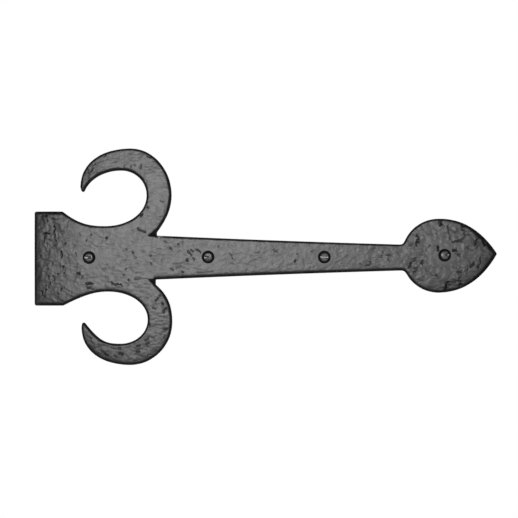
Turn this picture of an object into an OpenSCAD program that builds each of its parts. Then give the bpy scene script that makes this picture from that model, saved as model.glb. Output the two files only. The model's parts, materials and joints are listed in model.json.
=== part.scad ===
// Hinge front: a cast iron strap with two crescent horns and a pointed penny end,
// fixed to a door by four slotted round-head wood screws.
// X runs along the strap from the hinge end, Z is up and the show face looks towards -Y.
// A pair of values is [upper half, lower half], because the casting is dressed by hand
// and its halves differ a little.

/* [Plate] */
// Length from the hinge end to the point
plate_length = 381; // [350:0.5:420]
// Thickness of the casting
plate_thickness = 4.5; // [3.5:0.1:7]
// Radius worked along the edges of the show face
edge_round = 1.4; // [0.6:0.1:2]

/* [Hinge end] */
// Height of the hinge end above and below the centre line
end_half = [37.8, 39.5]; // [34:0.1:44]
// Straight run along the top and bottom of the hinge end
end_run = [23, 23.5]; // [14:0.1:28]
// Slope of the edge as it leaves the straight run, in degrees
end_slope = [38, 27]; // [24:1:44]
// Distance of the waist from the hinge end
waist_x = [57.9, 60.4]; // [52:0.1:66]
// Half height of the waist
waist_half = [25.8, 28]; // [22:0.1:32]

/* [Horns] */
// Height of the outer crest
crest_z = [89.7, 88.4]; // [84:0.1:98]
// Distance of the outer crest from the hinge end
crest_x = [79.5, 79]; // [70:0.1:86]
// Width of the horn at its crest
crest_band = [18, 17.3]; // [13:0.1:21]
// Distance of the bay's own crest from the hinge end
bay_crest_x = [71.1, 70.4]; // [62:0.1:76]
// Distance of the outer side from the hinge end
side_x = [112.7, 113.3]; // [108:0.1:120]
// Height at which the outer side stands furthest out
side_z = [51.5, 53.5]; // [46:0.1:58]
// Width of the horn at its side
side_band = [20.4, 20.1]; // [16:0.1:24]
// Height at which the bay reaches furthest towards the strap
bay_side_z = [51.1, 51.2]; // [46:0.1:56]
// Distance of the hook's back from the hinge end
hook_x = [37.8, 38.7]; // [34:0.1:44]
// Height at which the hook's back stands furthest out
hook_z = [57.7, 57.5]; // [55:0.1:64]
// Point of the hook: distance from the hinge end
tip_x = [40, 39.6]; // [39:0.1:46]
// Point of the hook: height
tip_z = [50.8, 51.6]; // [48:0.1:55]
// Rise of the bay's edge as it leaves the hook's point, in degrees
tip_rise = [80, 52]; // [46:1:84]

/* [Strap] */
// Distance of the strap's root from the hinge end
root_x = [100.6, 99.7]; // [96:0.1:104]
// Half width of the strap at its root
root_half = [18, 18.1]; // [16:0.1:22]
// Gap between the strap and the horn's back at the root
root_gap = [2.7, 4.3]; // [1:0.1:6]
// Slope of the horn's back where it meets the root, in degrees
root_slope = [53, 40]; // [36:1:60]
// Half width of the strap where it meets the penny end
neck_half = [10.6, 10.6]; // [8:0.1:14]
// Hollow of the strap's edges at the middle of their length
strap_hollow = 0.4; // [0:0.1:1.5]
// Reach of the chisel nick into the body at each root
nick_length = 6; // [3:0.1:9]
// Width of the chisel nick at the plate's edge
nick_width = 6; // [3:0.1:9]
// Depth of the chisel nick at the plate's edge
nick_depth = 3; // [1:0.1:3.4]

/* [Penny end] */
// Radius of the penny end
penny_r = 30.4; // [26:0.1:36]
// Distance from the middle of the penny end to its point
penny_reach = 48.2; // [42:0.1:60]
// Slope of the penny end's edges at its point, in degrees
penny_slope = 58; // [50:1:72]
// Height of the middle of the penny end over the centre line
penny_z = 1.5; // [-4:0.1:4]
// Turn of the pointed half, in degrees
penny_tilt = 1.9; // [-4:0.1:4]

/* [Curves] */
// How far the hinge end's curve keeps to its corner: 0.55 is a quarter ellipse, more is squarer
end_full = 0.75; // [0.5:0.01:0.85]
// The same for the bay's edge from the waist to its side
waist_full = 0.57; // [0.4:0.01:0.8]
// The same for the bay's edge from its side to its crest
bay_full = 0.56; // [0.4:0.01:0.8]
// The same for the bay's edge from its crest to the hook's point
tip_full = [0.57, 0.85]; // [0.4:0.01:0.9]
// The same for the hook's back
hook_full = 0.61; // [0.4:0.01:0.8]
// The same for the outer edge from the crest to the side
crest_full = 0.54; // [0.4:0.01:0.8]
// The same for the outer edge from the side to the root
root_full = 0.71; // [0.4:0.01:0.8]
// The same for the penny end's edges from its middle to its point
penny_full = 0.67; // [0.4:0.01:0.8]

/* [Screws] */
// Distance of the first screw from the hinge end
first_screw_x = 45; // [34:0.1:56]
// Distance of the last screw from the point
last_screw_back = 43.5; // [38:0.1:52]
// Shift of each screw along the strap from its even place
screw_shift = [0, 0.4, -1.5, 0]; // [-4:0.1:4]
// Height of each screw over the centre line
screw_z = [0, 0.4, 0.4, 1.9]; // [-4:0.1:4]
// Turn of each screw's slot away from the strap's line, in degrees
slot_turn = [4, -8, 1, 3]; // [-90:1:90]
// Diameter of the head
head_d = 10.6; // [9.4:0.1:12]
// Height of the head
head_height = 3.6; // [3:0.1:4.6]
// Width of the slot
slot_width = 1.5; // [1:0.1:2]
// Depth of the slot
slot_depth = 2; // [1.2:0.1:2.4]
// Diameter of the plain shank
shank_d = 5.5; // [4.8:0.1:6.2]
// Length of the plain shank under the head
shank_length = 10.8; // [8:0.1:14]
// Length of the screw under the head
screw_length = 31.8; // [26:0.1:45]
// Diameter at the root of the thread
core_d = 3.8; // [3.2:0.1:4.5]
// Distance between the turns of the thread
thread_pitch = 2.3; // [1.8:0.1:3]
// Length of the gimlet point
point_length = 7; // [4:0.1:9]
// Gap all round between the shank and its hole
hole_clearance = 0.85; // [0.6:0.05:1.1]

/* [Hidden] */
casting_colour = [0.12, 0.12, 0.125];
screw_colour = [0.09, 0.09, 0.095];
$fn = 64;
bend_steps = 12;
dome_sides = 16;
dome_steps = 3;
// Cutters and joined solids run this far past the faces they meet
overlap = 1;
// Sides of the thread and rings in each of its turns
thread_sides = 16;
turn_rings = 6;
// Share of a turn that the ridge of the thread takes up
ridge_share = 0.5;
// Radius of the blunt end of the gimlet point
point_r = 0.2;
screw_count = len(screw_z);
screw_pitch = (plate_length - last_screw_back - first_screw_x) / (screw_count - 1);
penny_x = plate_length - penny_reach;
dome_r = (head_d ^ 2 / 4 + head_height ^ 2) / (2 * head_height);
hole_d = shank_d + 2 * hole_clearance;
thread_length = screw_length - shank_length;

function bezier(a, b, c, d, t) =
    a * (1 - t) ^ 3 + 3 * b * t * (1 - t) ^ 2 + 3 * c * t ^ 2 * (1 - t) + d * t ^ 3;

// Curve from start to finish that leaves and arrives along its lines to the corner
function bend(start, corner, finish, fullness) = [
    for (i = [0 : bend_steps])
        bezier(start, start + (corner - start) * fullness,
            finish + (corner - finish) * fullness, finish, i / bend_steps)
];

// Outline of one half above the centre line: hinge end, waist, bay, hook, crest, side and root
function half_outline(h) =
    let (
        end_top = [end_run[h], end_half[h]],
        waist = [waist_x[h], waist_half[h]],
        end_corner = [end_top.x + (end_top.y - waist.y) / tan(end_slope[h]), waist.y],
        bay_side = [side_x[h] - side_band[h], bay_side_z[h]],
        bay_crest = [bay_crest_x[h], crest_z[h] - crest_band[h]],
        tip = [tip_x[h], tip_z[h]],
        hook = [hook_x[h], hook_z[h]],
        crest = [crest_x[h], crest_z[h]],
        side = [side_x[h], side_z[h]],
        root = [root_x[h], root_half[h] + root_gap[h]],
        tip_corner = [tip.x + (bay_crest.y - tip.y) / tan(tip_rise[h]), bay_crest.y],
        root_corner = [side.x, root.y + (side.x - root.x) * tan(root_slope[h])]
    )
    concat(
        [[0, -overlap], [0, end_half[h]]],
        bend(end_top, end_corner, waist, end_full),
        bend(waist, [bay_side.x, waist.y], bay_side, waist_full),
        bend(bay_side, [bay_side.x, bay_crest.y], bay_crest, bay_full),
        bend(bay_crest, tip_corner, tip, tip_full[h]),
        bend(hook, [hook.x, crest.y], crest, hook_full),
        bend(crest, [side.x, crest.y], side, crest_full),
        bend(side, root_corner, root, root_full),
        [[root.x, -overlap]]
    );

// One half of the strap, from its root to the middle of the penny end
function strap_outline(h) =
    let (
        root = [root_x[h], root_half[h]],
        neck = [penny_x - penny_r, neck_half[h]]
    )
    concat(
        [[root.x, -overlap]],
        [
            for (i = [0 : bend_steps])
                let (t = i / bend_steps)
                root + (neck - root) * t - [0, 4 * strap_hollow * t * (1 - t)]
        ],
        [[penny_x, neck.y], [penny_x, -overlap]]
    );

// A round whose far half is drawn out to a point
module penny_plan() {
    corner_x = penny_reach - penny_r / tan(penny_slope);
    edge = bend([0, penny_r], [corner_x, penny_r], [penny_reach, 0], penny_full);
    circle(penny_r);
    rotate(penny_tilt)
        for (side = [0, 1])
            mirror([0, side])
                polygon(concat([[0, -overlap]], edge));
}

module half_plan(h) {
    polygon(half_outline(h));
    polygon(strap_outline(h));
}

module plate_plan() {
    half_plan(0);
    mirror([0, 1])
        half_plan(1);
    translate([penny_x, penny_z])
        penny_plan();
}

// Quarter-round that runs along the edges of the show face
module edge_dome() {
    hull()
        rotate_extrude($fn = dome_sides)
            polygon(concat([[0, 0]], [
                for (i = [0 : dome_steps])
                    let (angle = 90 * i / dome_steps)
                    edge_round * [cos(angle), sin(angle)]
            ]));
}

module rounded_plate() {
    rotate([90, 0, 0])
        minkowski() {
            linear_extrude(plate_thickness - edge_round)
                offset(delta = -edge_round)
                    plate_plan();
            edge_dome();
        }
}

// Chisel cut that starts at the show face and deepens towards the notch at a strap root
module root_nick(h) {
    outward = h == 0 ? 1 : -1;
    face_y = -plate_thickness;
    mouth_x = root_x[h] + overlap;
    mouth_z = outward * (root_half[h] + root_gap[h] / 2);
    deepest = [mouth_x, face_y + nick_depth, mouth_z];
    rim = [
        [root_x[h] - nick_length, face_y, outward * root_half[h]],
        [mouth_x, face_y, mouth_z + outward * nick_width / 2],
        [mouth_x, face_y, mouth_z - outward * nick_width / 2]
    ];
    lift = overlap / nick_depth;
    polyhedron(
        points = concat([for (corner = rim) corner + (corner - deepest) * lift], [deepest]),
        faces = h == 0
            ? [[0, 1, 2], [0, 3, 1], [0, 2, 3], [1, 3, 2]]
            : [[0, 2, 1], [0, 1, 3], [0, 3, 2], [1, 2, 3]]
    );
}

module at_screw(i) {
    translate([first_screw_x + i * screw_pitch + screw_shift[i], -plate_thickness, screw_z[i]])
        rotate([-90, 0, 0])
            children();
}

module strap_casting() {
    color(casting_colour)
        difference() {
            rounded_plate();
            for (i = [0 : screw_count - 1])
                at_screw(i)
                    translate([0, 0, -overlap])
                        cylinder(d = hole_d, h = plate_thickness + 2 * overlap);
            for (h = [0, 1])
                root_nick(h);
        }
}

// Radius of the thread at a distance up from the point and an angle round the axis
function thread_r(rise, angle) =
    let (
        turn = rise / thread_pitch + angle / 360,
        across = abs(2 * (turn - floor(turn)) - 1),
        ridge = max(0, 1 - across / ridge_share),
        taper = min(1, rise / point_length),
        run_out = min(1, (thread_length - rise) / thread_pitch)
    )
    point_r + (core_d / 2 - point_r) * taper
        + (shank_d - core_d) / 2 * ridge * taper * max(0, run_out);

module wood_thread() {
    rings = ceil(thread_length / thread_pitch * turn_rings);
    ring_points = [
        for (ring = [0 : rings])
            for (side = [0 : thread_sides - 1])
                let (
                    rise = thread_length * ring / rings,
                    angle = 360 * side / thread_sides,
                    r = thread_r(rise, angle)
                )
                [r * cos(angle), r * sin(angle), screw_length - rise]
    ];
    top = (rings + 1) * thread_sides;
    wall_faces = [
        for (ring = [0 : rings - 1])
            for (side = [0 : thread_sides - 1])
                let (
                    a = ring * thread_sides + side,
                    b = ring * thread_sides + (side + 1) % thread_sides
                )
                each [
                    [a, b, a + thread_sides],
                    [b, b + thread_sides, a + thread_sides]
                ]
    ];
    point_faces = [
        for (side = [0 : thread_sides - 1])
            [top, (side + 1) % thread_sides, side]
    ];
    shank_faces = [
        for (side = [0 : thread_sides - 1])
            let (first = rings * thread_sides)
            [top + 1, first + side, first + (side + 1) % thread_sides]
    ];
    polyhedron(
        points = concat(ring_points, [[0, 0, screw_length], [0, 0, shank_length - overlap]]),
        faces = concat(wall_faces, point_faces, shank_faces)
    );
}

module round_head(i) {
    difference() {
        intersection() {
            translate([0, 0, dome_r - head_height])
                sphere(dome_r);
            translate([0, 0, -head_height])
                cylinder(d = head_d + 2 * overlap, h = head_height);
        }
        rotate(slot_turn[i])
            translate([0, 0, -head_height + slot_depth / 2 - overlap / 2])
                cube([head_d + 2 * overlap, slot_width, slot_depth + overlap], center = true);
    }
}

module wood_screw(i) {
    color(screw_colour)
        at_screw(i) {
            round_head(i);
            translate([0, 0, -overlap])
                cylinder(d = shank_d, h = shank_length + overlap);
            wood_thread();
        }
}

strap_casting();
wood_screw(0);  // screw_1
wood_screw(1);  // screw_2
wood_screw(2);  // screw_3
wood_screw(3);  // screw_4
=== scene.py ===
import json
import math
import bmesh
import bpy
import numpy as np
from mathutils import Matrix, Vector, kdtree
from mathutils.geometry import delaunay_2d_cdt


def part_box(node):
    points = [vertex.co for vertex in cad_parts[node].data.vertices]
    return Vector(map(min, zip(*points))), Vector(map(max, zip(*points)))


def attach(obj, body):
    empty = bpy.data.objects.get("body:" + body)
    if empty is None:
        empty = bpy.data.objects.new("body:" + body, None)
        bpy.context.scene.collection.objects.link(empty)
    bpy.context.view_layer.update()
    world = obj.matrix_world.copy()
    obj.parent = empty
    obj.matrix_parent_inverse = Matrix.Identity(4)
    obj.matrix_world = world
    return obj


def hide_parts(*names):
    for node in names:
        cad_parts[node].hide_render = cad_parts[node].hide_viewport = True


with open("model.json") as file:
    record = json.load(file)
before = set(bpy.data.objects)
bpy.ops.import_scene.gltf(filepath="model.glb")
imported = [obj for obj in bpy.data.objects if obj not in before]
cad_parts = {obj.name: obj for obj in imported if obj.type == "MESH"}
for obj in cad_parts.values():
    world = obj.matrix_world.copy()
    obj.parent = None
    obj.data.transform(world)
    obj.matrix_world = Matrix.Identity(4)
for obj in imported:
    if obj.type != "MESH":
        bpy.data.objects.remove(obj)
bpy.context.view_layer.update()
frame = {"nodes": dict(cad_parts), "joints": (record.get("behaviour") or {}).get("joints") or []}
mm = 0.001  # shapes below are worked out in millimetres
print("frame loaded:", len(frame["nodes"]), "nodes")


# Smooth noise from about -1 to 1, with lumps about one cell across
def lumps(x, z, cell, seed):
    primes, mixer, word = (374761393, 668265263, 974634777), 1274126177, 0xFFFFFFFF
    fullScale = 1.4
    u, v = x / cell, z / cell
    iu, iv = np.floor(u).astype(np.int64), np.floor(v).astype(np.int64)
    fu, fv = u - iu, v - iv

    def pull(du, dv):  # slope at one corner of the cell
        mixed = ((iu + du) * primes[0] + (iv + dv) * primes[1] + seed * primes[2]) & word
        mixed = ((mixed ^ (mixed >> 13)) * mixer) & word
        angle = (mixed ^ (mixed >> 16)) / (word + 1) * 2 * math.pi
        return np.cos(angle) * (fu - du) + np.sin(angle) * (fv - dv)

    easeU, easeV = (f ** 3 * (f * (f * 6 - 15) + 10) for f in (fu, fv))
    low = pull(0, 0) * (1 - easeU) + pull(1, 0) * easeU
    high = pull(0, 1) * (1 - easeU) + pull(1, 1) * easeU
    return fullScale * (low * (1 - easeV) + high * easeV)


def clamp(value):  # between 0 and 1
    return np.clip(value, 0, 1)


def lengths(vectors):
    return np.linalg.norm(vectors, axis=1)


def ramp(value, start, stop):  # 0 at start, 1 at stop, eased
    t = clamp((value - start) / (stop - start))
    return t * t * (3 - 2 * t)


def bowl(share):  # 1 where share is 0, curving down to 0 where it is 1
    return clamp(1 - share) ** 2


def circlePoints(sides):
    turns = np.arange(sides) * 2 * math.pi / sides
    return np.c_[np.cos(turns), np.sin(turns)]


# Triangles between a closed rim, its holes and loose inner points in the plane
def fillRegion(rim, holes, inner):
    points, edges, spans = [], [], []
    for loop in [rim, *holes]:
        first, count = len(points), len(loop)
        points.extend(loop)
        edges.extend((first + i, first + (i + 1) % count) for i in range(count))
        spans.append((first, count))
    points.extend(inner)
    insideWithHoles, weld = 2, 1e-4  # what to keep, and how close two points may lie
    made = delaunay_2d_cdt([Vector(p) for p in points], edges, [], insideWithHoles, weld)
    place = {old: new for new, olds in enumerate(made[3]) for old in olds}
    loops = [[place[first + i] for i in range(count)] for first, count in spans]
    lids = [set(loop) for loop in loops[1:]]  # a face with all its corners on one hole's edge closes it
    faces = [tuple(f) for f in made[2] if not any(lid.issuperset(f) for lid in lids)]
    return np.array([tuple(v) for v in made[0]]), faces, loops


# Quads between two rings of the same count
def bridge(ringA, ringB):
    count = len(ringA)
    return [(ringA[i], ringA[(i + 1) % count], ringB[(i + 1) % count], ringB[i]) for i in range(count)]


def addObject(name, data):
    made = bpy.data.objects.new(name, data)
    bpy.context.scene.collection.objects.link(made)
    return made


# A finished piece from points in millimetres, riding on a body in place of a node
def addPiece(name, points, faces, fields, body, node, material, sharpTurn):
    mesh = bpy.data.meshes.new(name)
    mesh.from_pydata([tuple(p) for p in np.asarray(points) * mm], [], faces)
    for field, values in fields.items():
        layer = mesh.attributes.new(field, "FLOAT", "POINT")
        layer.data.foreach_set("value", np.asarray(values, np.float32))
    work = bmesh.new()
    work.from_mesh(mesh)
    bmesh.ops.recalc_face_normals(work, faces=work.faces)
    work.to_mesh(mesh)
    work.free()
    mesh.shade_smooth()
    mesh.set_sharp_from_angle(angle=math.radians(sharpTurn))
    mesh.materials.append(material)
    piece = addObject(name, mesh)
    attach(piece, body)
    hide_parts(node)
    print(name, "has", len(mesh.polygons), "faces")


# Shared material effects

def feed(tree, value, socket):  # from a constant or from another node's output
    if isinstance(value, bpy.types.NodeSocket):
        tree.links.new(value, socket)
    else:
        socket.default_value = value


def newGroup(name, inputs, outputs):
    tree = bpy.data.node_groups.new(name, "ShaderNodeTree")
    for label, value in inputs.items():
        kind = "NodeSocketColor" if isinstance(value, tuple) else "NodeSocketFloat"
        tree.interface.new_socket(label, in_out="INPUT", socket_type=kind).default_value = value
    for label, kind in outputs.items():
        tree.interface.new_socket(label, in_out="OUTPUT", socket_type=kind)
    return tree, tree.nodes.new("NodeGroupInput").outputs, tree.nodes.new("NodeGroupOutput").inputs


def mathNode(tree, operation, first, second):
    node = tree.nodes.new("ShaderNodeMath")
    node.operation = operation
    feed(tree, first, node.inputs[0])
    feed(tree, second, node.inputs[1])
    return node.outputs[0]


def times(tree, first, second):
    return mathNode(tree, "MULTIPLY", first, second)


def rangeNode(tree, value, fromSpan, toSpan=(0.0, 1.0)):
    node = tree.nodes.new("ShaderNodeMapRange")
    for label, given in zip(("From Min", "From Max", "To Min", "To Max"), (*fromSpan, *toSpan)):
        feed(tree, given, node.inputs[label])
    feed(tree, value, node.inputs["Value"])
    return node.outputs["Result"]


def mixColour(tree, mask, under, over):
    node = tree.nodes.new("ShaderNodeMix")
    node.data_type = "RGBA"
    feed(tree, mask, node.inputs["Factor"])
    feed(tree, under, node.inputs["A"])
    feed(tree, over, node.inputs["B"])
    return node.outputs["Result"]


def textureNode(tree, kind, scale):
    node = tree.nodes.new(kind)
    coordinates = tree.nodes.new("ShaderNodeTexCoord")
    tree.links.new(coordinates.outputs["Object"], node.inputs["Vector"])
    tree.links.new(scale, node.inputs["Scale"])
    return node


def noiseNode(tree, scale, detail):
    node = textureNode(tree, "ShaderNodeTexNoise", scale)
    node.inputs["Detail"].default_value = detail
    return node.outputs["Fac"]


def fieldNode(tree, field):
    node = tree.nodes.new("ShaderNodeAttribute")
    node.attribute_name = field
    return node.outputs["Fac"]


# Paint that pooled and thinned: its tone and its sheen wander
def makePaintMottle():
    thin, thick = (0.02, 0.02, 0.02, 1), (0.01, 0.01, 0.01, 1)
    tree, given, put = newGroup(
        "paintMottle",
        {"Scale": 120.0, "Thin": thin, "Thick": thick, "Smooth": 0.3, "Rough": 0.4},
        {"Colour": "NodeSocketColor", "Roughness": "NodeSocketFloat"},
    )
    sheenScale, noiseSpan = 2.7, (0.3, 0.7)  # times the scale of the tone; where most of a noise lies
    cloud = noiseNode(tree, given["Scale"], detail=4)
    tree.links.new(mixColour(tree, cloud, given["Thin"], given["Thick"]), put["Colour"])
    fine = noiseNode(tree, times(tree, given["Scale"], sheenScale), detail=3)
    sheen = rangeNode(tree, fine, noiseSpan, (given["Smooth"], given["Rough"]))
    tree.links.new(sheen, put["Roughness"])
    return tree


# Sand-cast grain and pinholes as a height in metres
def makeCastGrain():
    tree, given, put = newGroup(
        "castGrain",
        {"Grain Scale": 900.0, "Grain Height": 0.00002, "Pit Scale": 260.0, "Pit Depth": 0.00006},
        {"Height": "NodeSocketFloat"},
    )
    pitSpan = (0.05, 0.4)  # from a pit's floor to its rim, in distances between pits
    grain = noiseNode(tree, given["Grain Scale"], detail=3)
    pits = textureNode(tree, "ShaderNodeTexVoronoi", given["Pit Scale"])
    pits.feature = "SMOOTH_F1"
    raised = times(tree, grain, given["Grain Height"])
    hollowed = rangeNode(tree, pits.outputs["Distance"], pitSpan)
    sunk = times(tree, hollowed, given["Pit Depth"])
    tree.links.new(mathNode(tree, "ADD", raised, sunk), put["Height"])
    return tree


# Painted shade: a near-black colour along the edges and in the hollows, where shade falls
def makePaintedShade():
    tree, given, put = newGroup(
        "paintedShade", {"Scale": 300.0, "Edge Shade": 0.8, "Hollow": 0.8}, {"Mask": "NodeSocketFloat"})
    leastCover = 0.6
    edge = times(tree, fieldNode(tree, "edge"), given["Edge Shade"])
    hollowShade = times(tree, fieldNode(tree, "hollowShade"), given["Hollow"])
    uneven = mathNode(tree, "ADD", noiseNode(tree, given["Scale"], detail=3), leastCover)
    mask = times(tree, mathNode(tree, "MAXIMUM", edge, hollowShade), uneven)
    tree.links.new(mathNode(tree, "MINIMUM", mask, 1.0), put["Mask"])
    return tree


# High spots are rubbed thin by handling; the same mask also lightens patches as a painted highlight
def makeRubbedAndHighlit():
    tree, given, put = newGroup("rubbedAndHighlit", {"Scale": 250.0, "Amount": 0.5}, {"Mask": "NodeSocketFloat"})
    patchy = noiseNode(tree, given["Scale"], detail=4)
    broken = times(tree, fieldNode(tree, "raised"), patchy)
    tree.links.new(times(tree, broken, given["Amount"]), put["Mask"])
    return tree


paintMottle = makePaintMottle()
castGrain = makeCastGrain()
paintedShade = makePaintedShade()
rubbedAndHighlit = makeRubbedAndHighlit()
print("shared effects made:", len(bpy.data.node_groups))


def newMaterial(name):
    material = bpy.data.materials.new(name)
    material.use_nodes = True
    tree = material.node_tree
    return material, tree, tree.nodes["Principled BSDF"].inputs


def placeGroup(tree, group, values):
    node = tree.nodes.new("ShaderNodeGroup")
    node.node_tree = group
    for label, value in values.items():
        node.inputs[label].default_value = value
    return node.outputs


# Black paint over metal: mottled and grained, rubbed where it stands proud, lighter in patches of painted
# highlight, and darker with painted shade along its edges and in its hollows
def blackPaint(name, finish):
    material, tree, shader = newMaterial(name)
    mottle = placeGroup(tree, paintMottle, finish["mottle"])
    rubbed = placeGroup(tree, rubbedAndHighlit, finish["rubbed"])
    shadeMask = placeGroup(tree, paintedShade, finish["shadeMask"])
    wearAndHighlight = mixColour(tree, rubbed["Mask"], mottle["Colour"], finish["rubbedAndHighlitColour"])
    # painted shade: a near-black colour along the edges and in the hollows
    coat = mixColour(tree, shadeMask["Mask"], wearAndHighlight, finish["shadeColour"])
    tree.links.new(coat, shader["Base Color"])
    duller = times(tree, shadeMask["Mask"], finish["shadeRoughness"])
    tree.links.new(mathNode(tree, "ADD", mottle["Roughness"], duller), shader["Roughness"])
    shader["IOR"].default_value = finish["ior"]
    grain = placeGroup(tree, castGrain, finish["grain"])
    bump = tree.nodes.new("ShaderNodeBump")
    bump.inputs["Distance"].default_value = 1  # the grain is already in metres
    bump.inputs["Strength"].default_value = finish["grainStrength"]
    tree.links.new(grain["Height"], bump.inputs["Height"])
    tree.links.new(bump.outputs["Normal"], shader["Normal"])
    print(name, "mixed")
    return material


# The casting, in millimetres: x runs from the hinge end, z up from the strap's middle line

casting = {
    "outlineStep": 0.55,  # distance between points along the edge
    "gridStep": 0.6,  # distance between points on the show face
    "markStep": 0.36,  # the same where a mark is cut
    "backStep": 1.65,  # the same on the back
    "edgeRings": (0.06, 0.2, 0.45, 0.75, 1.1),  # rows of points this far inside the edge
    "wallRows": (0.35, 0.7, 1.0),  # rows down the wall, as shares of its height
    "holeSides": 40,
    "cornerTurn": 20.0,  # a corner sharper than this many degrees isn't drawn as a curve
    "soften": 0.32,  # rounding of the corners in plan
    "neckPlace": 303.0,  # where the strap runs into the penny end
    "neckSoften": 2.0,  # rounding of the corners there
    "paintDepth": 0.1,  # the paint stands this far out all round
    "deepest": 3.7,  # the face never drops further than this
    "wallUneven": 0.05,
    "backBevel": 0.3,
    "backHollows": (0.4, 0.35, 0.2),  # broad ones, small ones and pits
    "sharpTurn": 50.0,  # an edge that turns more than this many degrees is shaded as a sharp one
    "edge": {
        "width": 1.6,  # reach of the dressed edge into the face
        "wander": 0.2,  # share by which it wanders
        "drop": 1.4,  # how far the face drops at its edge
        "steepness": 1.25,
        "lean": 0.5,  # share added to the reach where the edge looks down
        "leanAside": 0.8,  # an edge that looks right, or the hinge end's top, counts as this much down
        "hingeEndWidth": 0.5,  # added to the reach at the hinge end
        "pointWidth": 1.2,  # added at the point
        "pointDrop": 0.6,  # share added to the drop there
        "scallops": (0.5, 1.3),  # least and further reach added above the point
        "rimRound": 0.35,
        "rollWidth": 5.5,  # reach of the soft roll towards the edges that look down
        "rollDepth": 0.6,
        "pennyRoll": (4, 0.5),  # added to that reach and depth
        "lowHornRoll": 0.15,  # added to that depth
    },
    "roll": {  # how far the face falls away to its ends
        "hingeEnd": ((1.5, 45), (1.2, 10), (0.3, 4)),  # drop and reach
        "hingeEndTilt": 0.002,
        "hingeEndBow": 0.4,  # share added towards its corners
        "corners": 0.8, "hooks": 0.4, "point": 1.6, "lowHorn": 0.6,
        "dome": 0.0008,  # curve of the penny end
        "shoulder": 0.022,  # slope of its upper left side
    },
    "relief": {  # heights where the face is lightly worked, and what harder working adds
        "broad": (0.15, 0.07), "middle": (0.08, 0.1), "ripples": (0.165, 0.115), "fine": (0.06, 0.02),
        "fineHingeEnd": 0.03,
        "wrinkles": 0.36,  # upright ones, at the hinge end
        "crumple": 0.3,  # at the penny end
        "swirl": 1.6,  # how far the ripples are pushed about
        "leastPatch": 0.3,  # share of the ripples and wrinkles left in the calmest patches
        "harder": {"hingeEnd": 1.0, "penny": 1.0, "lowHorn": 0.8, "neck": 0.6},
        "hardest": 1.1,
    },
    "cuts": {
        "strength": 1.9,  # share of the depths listed below
        "spread": 1.1,  # share of the widths
        "zoneShares": {  # further shares of width and depth
            "hingeEnd": (0.68, 0.75), "strap": (1.0, 0.82), "upHorn": (1.0, 0.7), "lowHorn": (1.0, 0.62),
            "penny": (1.2, 1.0),
        },
        "lipShare": 0.4,  # height of the metal pushed up below a mark, as a share of its depth
        "lipOffset": (0.3, -1.5),  # where it lies, in widths of the mark
        "wander": (0.9, 2.8),  # how far a cut strays from its line, and over what distance
        "ragged": (0.5, 1.8),  # share by which its width varies, and over what distance
        "reach": 1.9,  # half width of a cut at the face, in its own widths
        "steepness": 2.3,
        "meshReach": 1.3,  # the mesh is finer up to here
    },
    "dents": {
        "seed": 41,
        "tries": 1700,
        "keep": 0.25,  # share kept on the strap, and what each end and the low horn add
        "keepHingeEnd": 0.75, "keepPenny": 0.6, "keepLowHorn": 0.5,
        "turnSpread": (0.4, 1.2),  # how far their directions vary, at the hinge end and elsewhere
        "run": 2.4,  # greatest length
        "halfWidth": (0.8, 1.5),
        "depth": (0.05, 0.2),
    },
    "nicks": [  # one at each strap root: its point, the middle of its mouth, half width and depth there
        {"point": (92.8, 17.7), "mouth": (100.6, 20.0), "halfWidth": 3.4, "depth": 4.4},
        {"point": (93.3, -17.7), "mouth": (100.1, -20.5), "halfWidth": 3.3, "depth": 4.4},
    ],
    # painted shade: where the face is darker than elsewhere, and by how much
    "zoneShade": {"hingeEnd": 0.45, "hooks": 0.4, "lowHorn": 0.35, "pennyLow": 0.3, "point": 0.2},
    "depthShade": {"marks": 4, "dents": 2, "nicks": 2},  # painted shade added for each millimetre of depth
    "rubbedPaint": (0.3, 4),  # on the level face, and what a millimetre of height adds
    "finish": {
        "mottle": {"Scale": 90.0, "Thin": (0.078, 0.0765, 0.0776, 1), "Thick": (0.05, 0.049, 0.0498, 1),
                   "Smooth": 0.31, "Rough": 0.39},
        # rubbed wear on the high spots, and lighter patches of painted highlight
        "rubbed": {"Scale": 160.0, "Amount": 0.8},
        "rubbedAndHighlitColour": (0.13, 0.128, 0.129, 1),
        # painted shade along the edges and in the hollows
        "shadeMask": {"Scale": 220.0, "Edge Shade": 0.95, "Hollow": 0.9},
        "shadeColour": (0.007, 0.007, 0.0072, 1),
        "shadeRoughness": 0.06,
        "ior": 1.5,
        "grain": {"Grain Scale": 1000.0, "Grain Height": 0.00003, "Pit Scale": 300.0, "Pit Depth": 0.00004},
        "grainStrength": 0.5,
    },
}

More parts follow.
